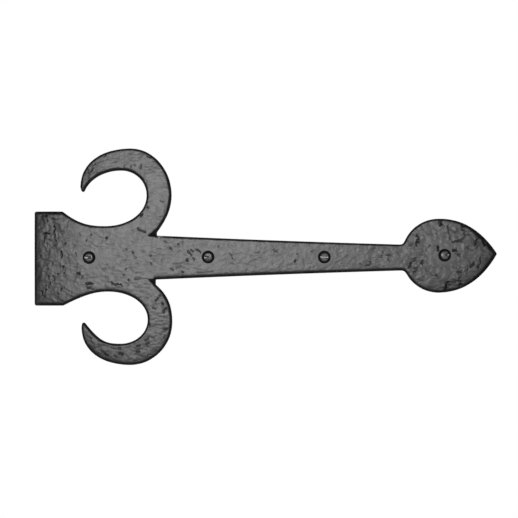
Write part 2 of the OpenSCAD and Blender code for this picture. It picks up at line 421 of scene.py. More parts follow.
# Marks left in the face by hammer and chisel: start x and z, run in x and z, half width, depth
hingeEndMarks = [
    (16.5, 26.2, 0, -8.2, 0.8, 0.45), (16.5, 18, 1.1, -4.9, 0.8, 0.5), (17.6, 13.1, 0.7, -3, 0.7, 0.4),
    (5.9, 34.5, 4.8, 0, 0.8, 0.4), (10.4, 31.8, 0.1, -2.2, 0.8, 0.3), (14.5, 32.3, 2, 0, 0.9, 0.22),
    (6.9, 19.9, 5.2, 0.1, 0.7, 0.35), (7.8, 16.6, 0.1, -4.8, 0.8, 0.25),
    (10.5, 11.8, 0.2, -2.8, 0.8, 0.22), (21.3, 21.4, 0.3, -1.2, 0.8, 0.25),
    (26.2, 25.5, 0.2, -1, 0.8, 0.22), (25.1, 11.1, 0.5, 0.8, 0.9, 0.4), (22.4, 4.9, 0, -4.8, 0.7, 0.5),
    (23.4, -7.8, 0, -0.8, 0.8, 0.3), (19.4, -13.3, 0.4, 0, 0.8, 0.28), (23.8, -13.3, 0.4, 0, 0.8, 0.32),
    (34.1, 3.5, 0, -1.6, 0.8, 0.25), (35.1, -5.4, 0, 0, 0.9, 0.32), (35.2, -13.4, 1.4, 0, 0.9, 0.42),
    (38.8, -16.4, 0.5, -0.4, 0.8, 0.22), (42.7, -21.3, 4.8, 0, 0.7, 0.36),
    (44.2, -25, 5, -1.4, 0.9, 0.22), (11.4, -15, 0.1, -3, 0.8, 0.32), (15.5, -15, 0.3, -3.2, 0.8, 0.32),
    (12.8, -20.6, 0, -1.6, 0.8, 0.3), (9, -22.4, 0.2, -0.8, 0.9, 0.25),
    (9.3, -26.4, 0.1, -2, 0.8, 0.45), (5.8, -28, 0.2, -3, 0.8, 0.38),
    (7.6, -31.6, 0.4, -0.8, 0.9, 0.42), (11.8, -24.4, 0.4, -0.8, 0.8, 0.25),
    (22.3, -25.6, 0, -1.8, 0.8, 0.36), (18.6, -28.6, 1, -1.6, 0.8, 0.28),
    (22, -35.6, 0.8, -0.9, 0.8, 0.3), (42.8, 14.5, 0, 0, 0.8, 0.25), (46.2, 18.6, 0, 0, 0.8, 0.25),
    (59.3, 16.2, 0, 0, 0.9, 0.42), (75.1, -9.4, 0, 0, 0.8, 0.32), (73.5, -14.4, 0, 0, 0.8, 0.25),
    (77.6, -18.9, 0, 0, 0.7, 0.36), (63.8, -20.8, 3.1, -1.5, 0.6, 0.32),
    (66.9, -22.3, 4.4, 0.4, 0.6, 0.28), (71.3, -21.9, 0.8, -2, 0.6, 0.28),
    (82.5, -17.6, 12, 0, 0.5, 0.1),
]
hornMarks = [
    (58.1, 83.8, 0.3, 1.2, 0.8, 0.4), (93.5, 83.8, 1.5, -1, 0.9, 0.4),
    (87.5, 76.4, -0.2, -2.5, 0.8, 0.3), (87.3, 34.8, 1.3, 0.7, 0.8, 0.5),
    (92.9, 41.3, 0.8, -0.3, 0.8, 0.4), (85, 23.6, 2.4, -1.6, 0.7, 0.25),
    (88.2, 21.7, 2.6, -0.2, 0.7, 0.24), (103.6, 46.9, 2.4, -0.5, 0.7, 0.16),
    (43.4, 73, 1.2, -5, 0.9, 0.25), (45.5, 70.5, 2.4, 2.6, 0.8, 0.25), (44.4, 66, 0.6, -2.6, 0.8, 0.25),
    (47.5, 75.5, 3, 1.5, 0.8, 0.22), (74, 75.6, 0.2, -2.4, 0.7, 0.16), (79, 76, -0.3, -3, 0.7, 0.18),
    (83.2, 77.5, 0, -2.2, 0.7, 0.16), (106.4, -45, 2.3, 3.6, 0.8, 0.45),
    (97, -41.2, 3, -0.4, 0.9, 0.28), (99.5, -35.5, 2.5, 1.8, 0.8, 0.22),
    (105, -37.7, 0.8, -0.4, 0.8, 0.28), (103.2, -31.3, 0.6, 0.3, 0.8, 0.25),
    (94.4, -54.6, 0.6, -2.4, 0.7, 0.4), (107, -59.2, 2, 0.2, 0.8, 0.3),
    (106.2, -66.5, 1, 1.6, 0.8, 0.32), (91.2, -68.2, 2, 1.4, 0.8, 0.3),
    (92.2, -71.4, 2.2, 1.2, 0.8, 0.34), (83.8, -73.6, 3, 1.2, 0.8, 0.38),
    (83.4, -77.4, 2.8, 0.3, 0.8, 0.38), (69.8, -79.2, 3, -0.4, 0.9, 0.42),
    (68.5, -75.4, 2.4, 0, 0.8, 0.24), (65.6, -81.4, 2.2, -1.2, 0.8, 0.28),
    (57.6, -79, 2.6, -1.6, 0.8, 0.42), (55.4, -76.8, 1.2, -1.4, 0.8, 0.3),
    (53.2, -72.6, 0.6, -2, 0.8, 0.3), (46.2, -66.5, 1, -3.5, 0.9, 0.24),
    (92.8, -81.2, 2.6, 1, 0.8, 0.3),
]
strapMarks = [
    (132.9, 7.1, 4.1, -3.3, 0.45, 0.22), (126.3, 5.4, 3.3, -4.1, 0.45, 0.24),
    (128.8, 6.6, 1.6, -2, 0.4, 0.2), (114.5, -4.6, 6, -0.6, 0.7, 0.1),
    (116.5, -8.4, 4.5, 0.8, 0.7, 0.12), (151.6, 9, 0, 0, 0.9, 0.2), (160.9, 3, 2.5, -4.2, 0.5, 0.2),
    (215, -2, -0.7, -1.3, 0.8, 0.3), (134.5, -12.8, 6, 0.2, 0.8, 0.1), (143, -12.4, 4.4, 0.2, 0.8, 0.1),
    (107.3, 13.3, 1, -1.4, 0.7, 0.2), (111.5, 7.8, 1.4, -1, 0.7, 0.2),
    (121.6, 12.8, 0.2, -2.2, 0.6, 0.16), (117.8, 10.7, 1.4, 0.4, 0.6, 0.2),
    (125.8, -1.9, 0.3, -1.2, 0.7, 0.3), (130.9, -1.1, 0.5, -1, 0.7, 0.2),
    (121.2, -12, 0.6, -0.3, 0.7, 0.24), (104.5, -1, 0.2, -2, 0.7, 0.14),
    (75.1, 7.1, 0.8, -0.8, 0.7, 0.14), (80.1, 5, 1.2, -1.4, 0.7, 0.2), (94.9, 2.1, 1, 0, 0.7, 0.14),
    (95.7, -4.9, 0.4, -0.8, 0.7, 0.18), (65.2, -7.8, 0.8, -0.6, 0.7, 0.14),
    (112.4, -9.6, 2, -0.4, 0.7, 0.14), (182, 3.6, 3.2, 0.8, 0.8, 0.12),
    (197, 6.5, 2.6, -1.4, 0.8, 0.12), (228, 5.2, 3, 0.4, 0.8, 0.1), (216, 2.6, 1.4, -0.4, 0.7, 0.12),
    (256.6, 1.3, 0.6, 0.2, 0.8, 0.12), (252, -5, 2, 0.6, 0.8, 0.1), (272.3, -6.9, 3.3, 0.8, 0.7, 0.26),
    (275.6, -6.1, 0.8, 2.5, 0.7, 0.26), (268, -5.4, 2.4, -1, 0.8, 0.12), (289.6, 2.1, 4, 0, 0.7, 0.18),
    (285.4, 0.6, 2.4, 4.6, 0.8, 0.12), (291, -2, 1, 0, 0.7, 0.18), (280.6, 9, 0.4, -1.6, 0.7, 0.18),
    (297.6, 4.6, 1.6, -1.2, 0.8, 0.12),
]
pennyMarks = [
    (334.3, 33, 0.1, -5, 1.3, 0.62), (340.6, 25.5, 0.6, -5.5, 0.9, 0.22),
    (342.1, 17.3, 0.3, -2, 0.9, 0.14), (344.5, 12.9, 7.8, 1.6, 0.8, 0.22),
    (352.3, 14.5, 1.7, 2.7, 0.8, 0.24), (354, 17.2, 0, 2.8, 0.8, 0.18),
    (352.6, 26.9, 0.3, -3.8, 0.9, 0.32), (332.1, 9, 0.1, -2.7, 0.8, 0.46),
    (344.6, 5.4, 2.6, 0.4, 0.8, 0.46), (347.2, 5.8, 0.4, 1.4, 0.7, 0.28),
    (348.2, 2.3, 1.8, -0.2, 0.8, 0.18), (315.2, 18.6, 1.8, -3.4, 0.7, 0.36),
    (317, 15.2, -2.8, -3.1, 0.7, 0.36), (314.2, 12.1, 0, -2.4, 0.7, 0.3),
    (308.6, 9.7, 2.2, 2.1, 0.8, 0.14), (324.3, 8.3, 1.8, 2.1, 0.8, 0.15),
    (319.4, -2.8, -0.9, -2.2, 0.9, 0.34), (309.5, -4.7, -1.4, -3.5, 0.9, 0.3),
    (313.2, -1.4, -2.2, -1.6, 0.9, 0.14), (312, -8.5, 3, 0, 0.8, 0.16),
    (312.7, -11.9, 1.6, 0, 0.8, 0.16), (330.2, -14, 1, 0, 0.9, 0.14),
    (339.8, -21.6, -0.8, -7, 1.5, 0.62), (341, -20.4, 9.7, 0.8, 0.9, 0.16),
    (348, -12.3, 3.4, 0.3, 0.9, 0.2), (351, -15.8, -1.6, -3.3, 0.9, 0.16),
    (345.2, -8.6, 2.8, 0.2, 0.8, 0.14), (358.2, -7.5, 3.8, 2.8, 0.9, 0.26),
    (367.2, -0.6, 0.2, -4, 0.8, 0.2), (367.4, -4.6, -2, -3.6, 0.8, 0.2), (362.5, 10, 2.4, 5, 1, 0.24),
    (369.2, 12.5, 2.1, -2.8, 0.9, 0.26), (350.7, -22.6, 1, -0.5, 1, 0.3),
    (363, -16.6, 1.2, -0.6, 1, 0.26), (356, 8, 4.5, -2, 0.9, 0.12), (354, -12, 3.2, 3, 0.9, 0.12),
    (345, 22, 2.6, -1.2, 0.9, 0.14),
]


# The listed marks with their shares of width and depth, and the metal pushed up below each
def toolMarks(settings):
    marks = np.array(hingeEndMarks + hornMarks + strapMarks + pennyMarks)
    x, z = marks[:, 0], marks[:, 1]
    width, depth = 4, 5  # columns
    hingeEnd = (x < 40) & (abs(z) < 39)
    body = ~hingeEnd & (x < 300)
    zones = {"hingeEnd": hingeEnd, "strap": body & (abs(z) < 26), "upHorn": body & (z > 26),
             "penny": x > 300, "lowHorn": z < -38}
    marks[:, width] *= settings["spread"]
    for zone, inZone in zones.items():
        marks[inZone, width:] *= settings["zoneShares"][zone]
    marks[:, depth] *= settings["strength"]
    lips = marks.copy()
    lips[:, :2] += np.array(settings["lipOffset"]) * marks[:, [width]]
    lips[:, depth] *= settings["lipShare"]
    return marks, lips


# Shallow dents all over, closer together where the face was worked harder
def scatterDents(low, high, settings):
    draw = np.random.RandomState(settings["seed"])
    spot = low + (high - low) * draw.rand(settings["tries"], 2)
    x, z = spot.T
    atHingeEnd = 1 - ramp(x, 14, 40)
    share = settings["keep"] + settings["keepHingeEnd"] * atHingeEnd
    share = share + settings["keepPenny"] * ramp(x, 296, 318) + settings["keepLowHorn"] * ramp(-z, 26, 45)
    keep = draw.rand(len(spot)) < share
    spot, upright = spot[keep], atHingeEnd[keep] * math.pi / 2
    count = len(spot)
    lean = upright + draw.normal(0, 1, count) * np.where(upright > 0.5, *settings["turnSpread"])
    run = settings["run"] * draw.rand(count)[:, None] * np.c_[np.cos(lean), np.sin(lean)]
    width = draw.uniform(*settings["halfWidth"], count)
    depth = draw.uniform(*settings["depth"], count)
    return np.c_[spot, run, width, depth]


# Closed loops of the edge round a node's back face, longest first
def backLoops(node):
    mesh = frame["nodes"][node].data
    flat, digits = 1e-5, 4
    corner = {}
    for v in mesh.vertices:
        if abs(v.co.y) < flat:
            corner[v.index] = (round(v.co.x / mm, digits), round(v.co.z / mm, digits))
    sides = {}
    for face in mesh.polygons:
        if all(i in corner for i in face.vertices):
            ring = [corner[i] for i in face.vertices]
            for a, b in zip(ring, ring[1:] + ring[:1]):
                if (b, a) in sides:
                    del sides[(b, a)]
                else:
                    sides[(a, b)] = True
    after = {a: b for a, b in sides}
    loops = []
    while after:
        start, here = after.popitem()
        loop = [start]
        while here != start:
            loop.append(here)
            here = after.pop(here)
        loops.append(np.array(loop))
    return sorted(loops, key=len, reverse=True)


def evenLoop(loop, step):
    fewest = 8
    closed = np.vstack([loop, loop[:1]])
    along = np.r_[0, lengths(np.diff(closed, axis=0)).cumsum()]
    at = np.linspace(0, along[-1], max(fewest, round(along[-1] / step)), endpoint=False)
    return np.c_[np.interp(at, along, closed[:, 0]), np.interp(at, along, closed[:, 1])]


def blurLoop(loop, step, width):
    reach = int(3 * width / step)
    weights = np.exp(-0.5 * (np.arange(-reach, reach + 1) * step / width) ** 2)
    return sum(w * np.roll(loop, k - reach, axis=0) for k, w in enumerate(weights)) / weights.sum()


# The loop redrawn as smooth curves between its sharp corners, with the corners rounded
def smoothLoop(loop, settings):
    ahead = np.roll(loop, -1, axis=0) - loop
    length = lengths(ahead)
    heading = ahead / length[:, None]
    before = np.roll(heading, 1, axis=0)
    tangent = heading * length[:, None] + before * np.roll(length, 1)[:, None]
    tangent /= lengths(tangent)[:, None]
    gentle = (heading * before).sum(1) > math.cos(math.radians(settings["cornerTurn"]))
    curveStep, step = 0.05, 0.1
    fine = []
    for i, point in enumerate(loop):
        j = (i + 1) % len(loop)
        leave = (tangent[i] if gentle[i] else heading[i]) * length[i]
        arrive = (tangent[j] if gentle[j] else heading[i]) * length[i]
        t = np.arange(0, 1, curveStep / length[i])[:, None] if length[i] > curveStep else np.zeros((1, 1))
        fine.append((2 * t ** 3 - 3 * t ** 2 + 1) * point + (t ** 3 - 2 * t ** 2 + t) * leave
                    + (3 * t ** 2 - 2 * t ** 3) * loop[j] + (t ** 3 - t ** 2) * arrive)
    fine = evenLoop(np.concatenate(fine), step)
    rounded = blurLoop(fine, step, settings["soften"])
    eased = blurLoop(fine, step, settings["neckSoften"])
    neck = 1 - ramp(abs(rounded[:, 0] - settings["neckPlace"]), 3, 7)
    return evenLoop(rounded + (eased - rounded) * neck[:, None], step)


def inwardNormals(loop):
    run = np.roll(loop, -1, axis=0) - np.roll(loop, 1, axis=0)
    run /= lengths(run)[:, None]
    x, z = loop.T
    turn = 1 if (x * np.roll(z, -1) - np.roll(x, -1) * z).sum() > 0 else -1
    return turn * np.c_[-run[:, 1], run[:, 0]]


# Distance of each point inside the outline, less than zero outside it, and the shortest way out
def makeRuler(outline):
    normals = inwardNormals(outline)
    tree = kdtree.KDTree(len(outline))
    for i, (x, z) in enumerate(outline):
        tree.insert((x, z, 0), i)
    tree.balance()

    def measure(points):
        found = [tree.find((x, z, 0)) for x, z in points]
        near = np.array([f[1] for f in found])
        away = np.array([f[2] for f in found])
        along = ((points - outline[near]) * normals[near]).sum(1)
        return np.where(along > 0, away, -away), -normals[near]

    return measure


def hexGrid(low, high, step):
    rows = np.arange(low[1], high[1], step * math.sqrt(3) / 2)
    columns = np.arange(low[0], high[0], step)
    x, z = np.meshgrid(columns, rows)
    x = x + (np.arange(len(rows)) % 2)[:, None] * step / 2
    return np.c_[x.ravel(), z.ravel()]


# How deep V-shaped cuts go at each point, and whether one is near; they wander and their sides are uneven
def markDepth(points, cuts, settings):
    x, z = points.T
    stray, strayCell = settings["wander"]
    uneven, unevenCell = settings["ragged"]
    points = points + stray * np.c_[lumps(x, z, strayCell, seed=21), lumps(x, z, strayCell, seed=22)]
    ragged = 1 + uneven * lumps(x, z, unevenCell, seed=23)
    depth = np.zeros(len(points))
    near = np.zeros(len(points), bool)
    room, shortest = 4, 1e-9  # how far to look, in widths; keeps a round dent from dividing by zero
    for x, z, runX, runZ, width, deep in cuts:
        close = np.flatnonzero((abs(points[:, 0] - x - runX / 2) < abs(runX) / 2 + room * width)
                               & (abs(points[:, 1] - z - runZ / 2) < abs(runZ) / 2 + room * width))
        offset = points[close] - (x, z)
        span = max(runX ** 2 + runZ ** 2, shortest)
        share = clamp((offset @ (runX, runZ)) / span)
        away = lengths(offset - share[:, None] * (runX, runZ)) / (width * ragged[close])
        cut = deep * clamp(1 - away / settings["reach"]) ** settings["steepness"]
        depth[close] = np.maximum(depth[close], cut)
        near[close] |= away < settings["meshReach"]
    return depth, near


def nickDepth(points, nicks):
    depth = np.zeros(len(points))
    narrowest, longest = 1e-6, 1.6  # a nick runs on past its mouth
    for nick in nicks:
        start = np.array(nick["point"])
        run = np.array(nick["mouth"]) - start
        offset = points - start
        share = (offset @ run) / (run @ run)
        across = abs(offset @ (-run[1], run[0])) / np.linalg.norm(run)
        room = np.maximum(nick["halfWidth"] * share, narrowest)
        cut = nick["depth"] * share * clamp(1 - across / room)
        depth = np.maximum(depth, np.where((share > 0) & (share < longest), cut, 0))
    return depth


# How far each point lies in each part of the plate, from 0 to 1
def plateZones(x, z):
    tips = ramp(abs(z), 42, 50)
    return {"hingeEnd": 1 - ramp(x, 12, 38), "neck": ramp(x, 235, 275), "penny": ramp(x, 300, 325),
            "point": ramp(x, 340, 379), "lowHorn": ramp(-z, 26, 50), "tips": tips,
            "hooks": tips * (1 - ramp(x, 42, 70))}


# Drop of the face along its dressed edge, and how far into that edge each point lies
def edgeDrop(x, z, inset, outward, at, edge):
    right, up, down = (clamp(side) for side in (*outward.T, -outward[:, 1]))
    aside = edge["leanAside"]
    lean = clamp(down + aside * right + aside * (1 - ramp(x, 20, 30)) * up)
    width = edge["width"] * (1 + edge["wander"] * lumps(x, z, cell=7, seed=3) + edge["lean"] * lean)
    width = width + edge["hingeEndWidth"] * (1 - ramp(x, 20, 28))
    width = width + edge["pointWidth"] * at["point"] * at["point"]
    least, further = edge["scallops"]
    scallops = least + further * clamp(0.3 + lumps(x, z, cell=5, seed=13))
    width = width + ramp(x, 338, 356) * ramp(z, 0, 8) * scallops
    t = clamp(1 - inset / width)
    rim = clamp(1 - inset / edge["rimRound"])
    drop = edge["drop"] * (1 + edge["pointDrop"] * at["point"] * at["point"]) * t ** edge["steepness"]
    drop = drop + edge["rimRound"] * (1 - np.sqrt(1 - rim ** 2))
    wider, deeper = edge["pennyRoll"]
    rollWidth = edge["rollWidth"] + wider * at["penny"]
    rollDepth = edge["rollDepth"] + deeper * at["penny"] + edge["lowHornRoll"] * at["lowHorn"]
    return drop + rollDepth * lean * bowl(inset / rollWidth), t


# The broad form of the face: it falls away to the hinge end, the hooked tips, the penny end's rim and point
def rolledDrop(x, z, at, roll):
    half = 38.5  # of the hinge end's height
    drop = sum(fall * bowl(x / reach) for fall, reach in roll["hingeEnd"])
    drop = drop * (1 - roll["hingeEndTilt"] * z + roll["hingeEndBow"] * (z / half) ** 2)
    drop = drop + roll["hooks"] * at["tips"] * bowl((x - 41.5) / 16)
    drop = drop + roll["corners"] * bowl(np.hypot(x, half - abs(z)) / 14)
    domed = np.clip(x - 344, 0, None) ** 2 + np.clip(abs(z) - 8, 0, None) ** 2
    drop = drop + roll["dome"] * at["penny"] * domed
    drop = drop + roll["shoulder"] * np.clip(340 - x, 0, 36) * ramp(x, 290, 306) * ramp(z, 0, 26)
    drop = drop + roll["point"] * clamp((x - 364) / 17) ** 2
    return drop + roll["lowHorn"] * clamp((-z - 55) / 34) ** 2


# Swells, ripples, wrinkles and crumples of the hand-dressed face
def workedDrop(x, z, at, relief):
    harder = sum(share * at[zone] for zone, share in relief["harder"].items())
    harder = np.clip(harder, 0, relief["hardest"])

    def height(name):
        light, added = relief[name]
        return light + added * harder

    def patches(cell, seed, span):
        least = relief["leastPatch"]
        return least + (1 - least) * ramp(lumps(x, z, cell, seed), *span)

    broad = height("broad") * lumps(x, z, cell=13, seed=5) + height("middle") * lumps(x, z, cell=6, seed=6)
    swirlX = x + relief["swirl"] * lumps(x, z, cell=7, seed=32)
    swirlZ = z + relief["swirl"] * lumps(x, z, cell=7, seed=33)
    ripples = height("ripples") * patches(cell=16, seed=31, span=(-0.5, 0.4))
    ripples = ripples * lumps(0.75 * swirlX, 1.25 * swirlZ, cell=3, seed=34)  # longer along the strap
    fine = height("fine") + relief["fineHingeEnd"] * at["hingeEnd"]
    fine = fine * lumps(x, z, cell=1.9, seed=7) + ripples
    bent = 1.6 * swirlX + 3 * lumps(x, z, cell=9, seed=8)  # upright and winding
    wrinkles = relief["wrinkles"] * at["hingeEnd"] * patches(cell=12, seed=35, span=(-0.4, 0.4))
    wrinkles = wrinkles * lumps(bent, 0.9 * swirlZ, cell=6, seed=9)
    folds = abs(lumps(swirlX + 2 * lumps(x, z, cell=8, seed=10), swirlZ, cell=6.5, seed=11))
    crumple = relief["crumple"] * at["penny"] * (folds - 0.3)
    return broad + fine + wrinkles - crumple


# Drop of the show face below the flat plate, and where it gets painted shade, rubbed wear and painted
# highlight
def faceDrop(points, inset, outward, screwSpots, dents, marked, settings):
    x, z = points.T
    at = plateZones(x, z)
    edge, t = edgeDrop(x, z, inset, outward, at, settings["edge"])
    rolled = rolledDrop(x, z, at, settings["roll"])
    dented, marks, lips = (markDepth(points, cuts, settings["cuts"])[0] for cuts in (dents, *marked))
    worked = workedDrop(x, z, at, settings["relief"]) + dented
    for spot in screwSpots:  # the face is level round each screw, so working and marks fade in from there
        away = lengths(points - spot)
        worked = worked * ramp(away, 5.6, 10.1)
        marks = marks * ramp(away, 5.4, 5.9)
        lips = lips * ramp(away, 5.4, 7)
    nicks = nickDepth(points, settings["nicks"])
    drop = edge + rolled + worked + marks - lips * (1 - t) + nicks
    more, shadePerMm, (bare, higher) = (settings[key] for key in ("zoneShade", "depthShade", "rubbedPaint"))
    # painted shade: darker at the hinge end, the hooks, the low horn, the penny's lower side and its point,
    # and in marks, dents and nicks by their depth
    thick = more["hingeEnd"] * (1 - ramp(x, 10, 50)) + more["hooks"] * at["hooks"]
    thick = thick + more["lowHorn"] * ramp(-z, 50, 80)
    thick = thick + at["penny"] * (more["pennyLow"] * ramp(-z, 5, 22) + more["point"] * ramp(x, 350, 370))
    hollowShade = marks * shadePerMm["marks"] + dented * shadePerMm["dents"] + nicks * shadePerMm["nicks"] + thick
    # lighter patches: a painted highlight on the penny end's upper left, and a patch on the upper horn
    wearAndHighlight = at["penny"] * ramp(z, -8, 14) * (1 - ramp(x, 345, 362)) + ramp(x, 88, 100) * ramp(z, 50, 68)
    # the edge and hollow fields give painted shade; the raised field gives rubbed wear and the painted
    # highlight patches
    fields = {
        "edge": ramp(t, 0, 0.35),
        "hollowShade": clamp(hollowShade),
        "raised": clamp(bare - higher * worked + wearAndHighlight) * (t == 0),
    }
    return settings["deepest"] * np.tanh(drop / settings["deepest"]), fields


def clearOfHoles(points, holes, middles, room):
    for hole, middle in zip(holes, middles):
        radius = np.linalg.norm(hole[0] - middle)
        points = points[lengths(points - middle) > radius + room]
    return points


# Loose points of the show face: rings close to the edge, then a grid that is finer where a mark is cut
def facePoints(outline, plan, measure, marks, settings):
    normals = inwardNormals(outline)
    ringRoom, gridRoom = 0.85, 1.35  # share of its reach that a ring keeps from any edge; room for the grid
    parts = []
    for reach in settings["edgeRings"]:
        ring = outline + reach * normals
        parts.append(ring[measure(ring)[0] > ringRoom * reach])
    coarse = hexGrid(*plan, settings["gridStep"])
    coarse = coarse[~markDepth(coarse, marks, settings["cuts"])[1]]
    fine = hexGrid(*plan, settings["markStep"])
    fine = fine[markDepth(fine, marks, settings["cuts"])[1]]
    grid = np.vstack([coarse, fine])
    parts.append(grid[measure(grid)[0] > gridRoom])
    return np.vstack(parts)


# The back as cast: it only ever dips in, and not at its edges
def backDrop(x, z, edges, hollows):
    broad, small, pits = hollows
    drop = broad * abs(lumps(x, z, cell=12, seed=14)) + small * abs(lumps(x, z, cell=5, seed=15))
    drop = drop + pits * clamp(lumps(x, z, cell=3, seed=16))
    drop[edges] = 0
    return drop


def buildCasting(settings):
    node = "strap_casting"
    low, high = (np.array(corner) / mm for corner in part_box(node))
    plan = (low[[0, 2]], high[[0, 2]])
    loops = backLoops(node)
    painted = smoothLoop(loops[0], settings)
    painted = painted - settings["paintDepth"] * inwardNormals(painted)
    measure = makeRuler(painted)
    outline = evenLoop(painted, settings["outlineStep"])
    normals = inwardNormals(outline)
    holes, screwSpots = [], []
    for loop in loops[1:]:
        middle = (loop.min(0) + loop.max(0)) / 2
        radius = (loop.max(0) - loop.min(0)).mean() / 2
        holes.append(middle + radius * circlePoints(settings["holeSides"]))
        screwSpots.append(middle)
    print("outline has", len(outline), "points and", len(holes), "holes")

    marked = toolMarks(settings["cuts"])
    inner = facePoints(outline, plan, measure, marked[0], settings)
    inner = clearOfHoles(inner, holes, screwSpots, room=0.3)
    plane, faces, (rim, *holeRims) = fillRegion(outline, holes, inner)
    inset, outward = measure(plane)
    inset = np.maximum(inset, 0)
    inset[rim] = 0
    dents = scatterDents(*plan, settings["dents"])
    drop, surface = faceDrop(plane, inset, outward, screwSpots, dents, marked, settings)
    points = [np.c_[plane[:, 0], low[1] + drop, plane[:, 1]]]
    fields = {name: [values] for name, values in surface.items()}
    print("show face drops up to", round(drop.max(), 2), "mm, with", len(dents), "dents")

    def addPoints(ring, depths, edge=0, hollowShade=0, raised=0):  # returns their numbers
        first = sum(map(len, points))
        points.append(np.c_[ring[:, 0], depths, ring[:, 1]])
        for name, value in (("edge", edge), ("hollowShade", hollowShade), ("raised", raised)):
            fields[name].append(np.broadcast_to(np.asarray(value, float), len(ring)))
        return range(first, first + len(ring))

    # the wall, a little uneven as cast, with half the painted edge shade
    bevel, step = settings["backBevel"], settings["backStep"]
    top, upper = points[0][rim, 1], rim
    uneven = settings["wallUneven"] * lumps(*outline.T, cell=3.5, seed=12)
    for share in settings["wallRows"]:
        ring = outline + normals * (uneven * math.sin(math.pi * share))[:, None]
        lower = addPoints(ring, top + (-bevel - top) * share, edge=0.5)
        faces.extend(bridge(upper, lower))
        upper = lower

    # the back, joined to the wall and through the holes to the face
    backInner = hexGrid(*plan, step)
    backInner = backInner[measure(backInner)[0] > step * 0.5 + bevel]
    backInner = clearOfHoles(backInner, holes, screwSpots, room=1)
    backPlane, backFaces, backRims = fillRegion(outline + bevel * normals, holes, backInner)
    asCast = backDrop(*backPlane.T, [i for loop in backRims for i in loop], settings["backHollows"])
    shadeMask, rubbed = clamp(3 * asCast - 0.6), clamp(1 - 8 * asCast)  # painted shade in the deepest dips; rubbed wear on the flat
    number = addPoints(backPlane, -asCast, hollowShade=shadeMask, raised=rubbed)
    faces.extend(tuple(number[i] for i in face) for face in backFaces)
    for front, behind in zip([upper, *holeRims], backRims):
        faces.extend(bridge(front, [number[i] for i in behind]))
    fields = {name: np.concatenate(parts) for name, parts in fields.items()}
    material = blackPaint("castingBlack", settings["finish"])
    addPiece("casting_strap", np.vstack(points), faces, fields, "casting", node, material,
             settings["sharpTurn"])


buildCasting(casting)


# The screws, in millimetres; a list has one value for each of the four

screw = {
    "headRadius": 5.3,
    "headHeight": 3.6,
    "crownShare": 0.59,  # share of the radius that the low crown takes up
    "crownDrop": 0.36,  # how far the crown falls before the steep side starts
    "sideBulge": 1.15,
    "topTilts": [(0.03, 0.0), (0.06, 0.05), (0.09, -0.02), (-0.04, 0.0)],  # slopes along, across the slot
    "slotWidth": 2.0,
    "slotDepths": [0.95, 0.6, 0.65, 0.8],  # what the paint leaves open
    "slotTurns": [1, -8, 1, -10],  # degrees from the strap's line
    "upperWall": 0.6,  # width of the slot's upper wall
    "lowerWall": 0.3,
    "slotLip": 0.25,  # width of its rounded lip
    "lipShare": 0.5,  # drop of the lip, as a share of that width
    "floorTilt": 0.04,  # paint settled towards the lower wall of the slot
    "paintFill": [1.0, 0.7, 0.0, -1.0],  # how far paint closes the slot, to the left below zero
    "fillSpans": [(-1.0, 3.2), (-1.6, 1.6), (-1.0, 1.0), (-2.2, 0.2)],  # where it rises along the slot
    "endRises": [0.08, 0.08, 0.0, 0.2],  # slope of the paint up to the open end
    "endLength": 2.5,  # greatest length of that slope
    "shallow": 0.3,  # a slot less deep than this fades out
    "shankRadius": 2.75,
    "shankLength": 10.8,
    "shankEnd": (0.2, 0.12),  # length and depth of the step down to the thread
    "fillet": 0.35,  # rounding under the head
    "length": 31.8,
    "coreRadius": 1.9,
    "pitch": 2.3,
    "ridgeShare": 0.5,  # width of the thread's ridge, as a share of the pitch
    "ridgeBulge": 0.85,
    "pointLength": 7.0,
    "pointRadius": 0.2,
    "pointBulge": 0.8,
    "sides": 72,
    "turnRings": 16,  # rings in one turn of the thread
    "crownStep": 0.24,  # distance between points on the crown
    "sharpTurn": 35.0,
    "finish": {
        "mottle": {"Scale": 400.0, "Thin": (0.075, 0.075, 0.076, 1), "Thick": (0.05, 0.05, 0.051, 1),
                   "Smooth": 0.16, "Rough": 0.23},
        # rubbed wear on the crown and the thread's crests
        "rubbed": {"Scale": 600.0, "Amount": 0.8},
        "rubbedAndHighlitColour": (0.12, 0.12, 0.12, 1),
        # painted shade on the head's steep side and in the slot
        "shadeMask": {"Scale": 700.0, "Edge Shade": 1.2, "Hollow": 1.0},
        "shadeColour": (0.006, 0.006, 0.0062, 1),
        "shadeRoughness": 0.15,
        "ior": 1.5,
        "grain": {"Grain Scale": 2200.0, "Grain Height": 0.000015,
                  "Pit Scale": 900.0, "Pit Depth": 0.00002},
        "grainStrength": 0.4,
    },
}


# Height of the head over its seat: a low crown over a steep side, with the slot part-filled with paint
def headHeight(along, across, index, settings):
    half, lipWidth = settings["slotWidth"] / 2, settings["slotLip"]
    r = np.minimum(np.hypot(along, across) / settings["headRadius"], 1)
    share = settings["crownShare"]
    tall = settings["headHeight"] + np.column_stack((along, across)) @ settings["topTilts"][index]
    crown = tall - settings["crownDrop"] * np.minimum(r / share, 1) ** 2
    beyond = clamp((r - share) / (1 - share))
    dome = crown * (1 - beyond ** settings["sideBulge"])
    fill = settings["paintFill"][index]
    toFull = along * np.sign(fill)
    start, end = settings["fillSpans"][index]
    floor = tall - settings["slotDepths"][index] * (1 - abs(fill) * ramp(toFull, start, end))
    floor = floor + settings["endRises"][index] * np.clip(start - toFull, 0, settings["endLength"])
    floor = floor - settings["floorTilt"] * across
    away = abs(across)
    lip = settings["lipShare"] * lipWidth * (1 - ramp(away, half, half + lipWidth))
    wall = ramp(away, half - np.where(across > 0, settings["upperWall"], settings["lowerWall"]), half)
    cut = floor + (dome - lip - floor) * wall
    gape = clamp((dome - floor) / settings["shallow"])
    height = np.where(away < half, cut, dome - lip)
    height = np.where(dome > floor, dome + (height - dome) * ramp(gape, 0, 0.5), dome)
    return height, r, wall * (away < half) * gape


